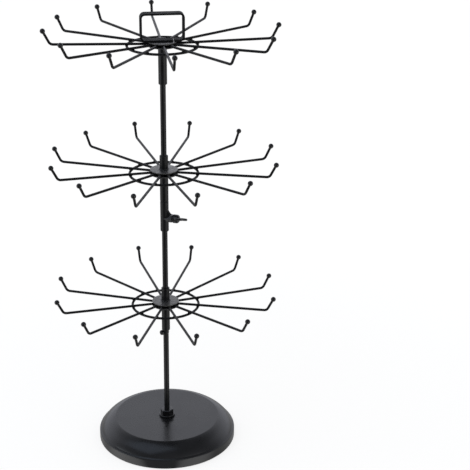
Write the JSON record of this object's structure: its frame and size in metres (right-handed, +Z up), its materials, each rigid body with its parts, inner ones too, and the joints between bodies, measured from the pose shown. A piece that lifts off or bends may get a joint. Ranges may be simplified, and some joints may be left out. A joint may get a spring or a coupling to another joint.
{
  "type": "jewellery stand",
  "caption": "Free-standing jewellery tree: weighted round base, upright post and turning tiers of ball-tipped wire hooks, a sliding clamp collar with wing screw, and a strip handle.",
  "frame": {"origin": "centre of the underside of the base", "axes": "+Z up along the post, -Y towards the front"},
  "size_m": [0.2436, 0.2436, 0.4867],
  "materials": {
    "black_coat": "satin black powder coat",
    "base_coat": "smooth semi-gloss black paint",
    "pad": "matt",
    "ballast": "rough",
    "plated_steel": "zinc plated"
  },
  "bodies": {
    "stand": {"base_shell": "base_coat", "base_pad": "pad", "ballast_plate": "ballast", "under_washer": "plated_steel", "under_nut": "plated_steel", "base_nut": "black_coat", "post": "black_coat", "stop_screw": "black_coat"},
    "bottom_tier": {"bottom_arm_01": "black_coat", "bottom_arm_02": "black_coat", "bottom_arm_03": "black_coat", "bottom_arm_04": "black_coat", "bottom_arm_05": "black_coat", "bottom_arm_06": "black_coat", "bottom_arm_07": "black_coat", "bottom_arm_08": "black_coat", "bottom_arm_09": "black_coat", "bottom_arm_10": "black_coat", "bottom_arm_11": "black_coat", "bottom_arm_12": "black_coat", "bottom_discs": "black_coat", "bottom_ring": "black_coat", "bottom_sleeve": "black_coat", "bottom_tips": "black_coat"},
    "clamp": {"clamp_collar": "black_coat", "clamp_nut": "black_coat"},
    "wing_screw": {"wing_screw": "black_coat"},
    "middle_tier": {"middle_arm_01": "black_coat", "middle_arm_02": "black_coat", "middle_arm_03": "black_coat", "middle_arm_04": "black_coat", "middle_arm_05": "black_coat", "middle_arm_06": "black_coat", "middle_arm_07": "black_coat", "middle_arm_08": "black_coat", "middle_arm_09": "black_coat", "middle_arm_10": "black_coat", "middle_arm_11": "black_coat", "middle_arm_12": "black_coat", "middle_discs": "black_coat", "middle_ring": "black_coat", "middle_sleeve": "black_coat", "middle_tips": "black_coat"},
    "top_tier": {"top_arm_01": "black_coat", "top_arm_02": "black_coat", "top_arm_03": "black_coat", "top_arm_04": "black_coat", "top_arm_05": "black_coat", "top_arm_06": "black_coat", "top_arm_07": "black_coat", "top_arm_08": "black_coat", "top_arm_09": "black_coat", "top_arm_10": "black_coat", "top_arm_11": "black_coat", "top_arm_12": "black_coat", "top_discs": "black_coat", "top_ring": "black_coat", "top_sleeve": "black_coat", "top_tips": "black_coat", "handle": "black_coat"}
  },
  "joints": [
    {"name": "bottom_tier_spin", "type": "hinge", "parent": "stand", "child": "bottom_tier", "pos_m": [0, 0, 0.165], "axis": [0, 0, 1], "continuous": true},
    {"name": "collar_slide", "type": "slide", "parent": "stand", "child": "clamp", "axis": [0, 0, 1], "range_m": [-0.066, 0.076]},
    {"name": "middle_tier_spin", "type": "hinge", "parent": "clamp", "child": "middle_tier", "pos_m": [0, 0, 0.317], "axis": [0, 0, 1], "continuous": true},
    {"name": "top_tier_spin", "type": "hinge", "parent": "stand", "child": "top_tier", "pos_m": [0, 0, 0.455], "axis": [0, 0, 1], "continuous": true},
    {"name": "wing_screw_turn", "type": "hinge", "parent": "clamp", "child": "wing_screw", "pos_m": [0.01128, -0.0041, 0.2652], "axis": [0.9397, -0.342, 0], "range_deg": [0, 540]}
  ]
}
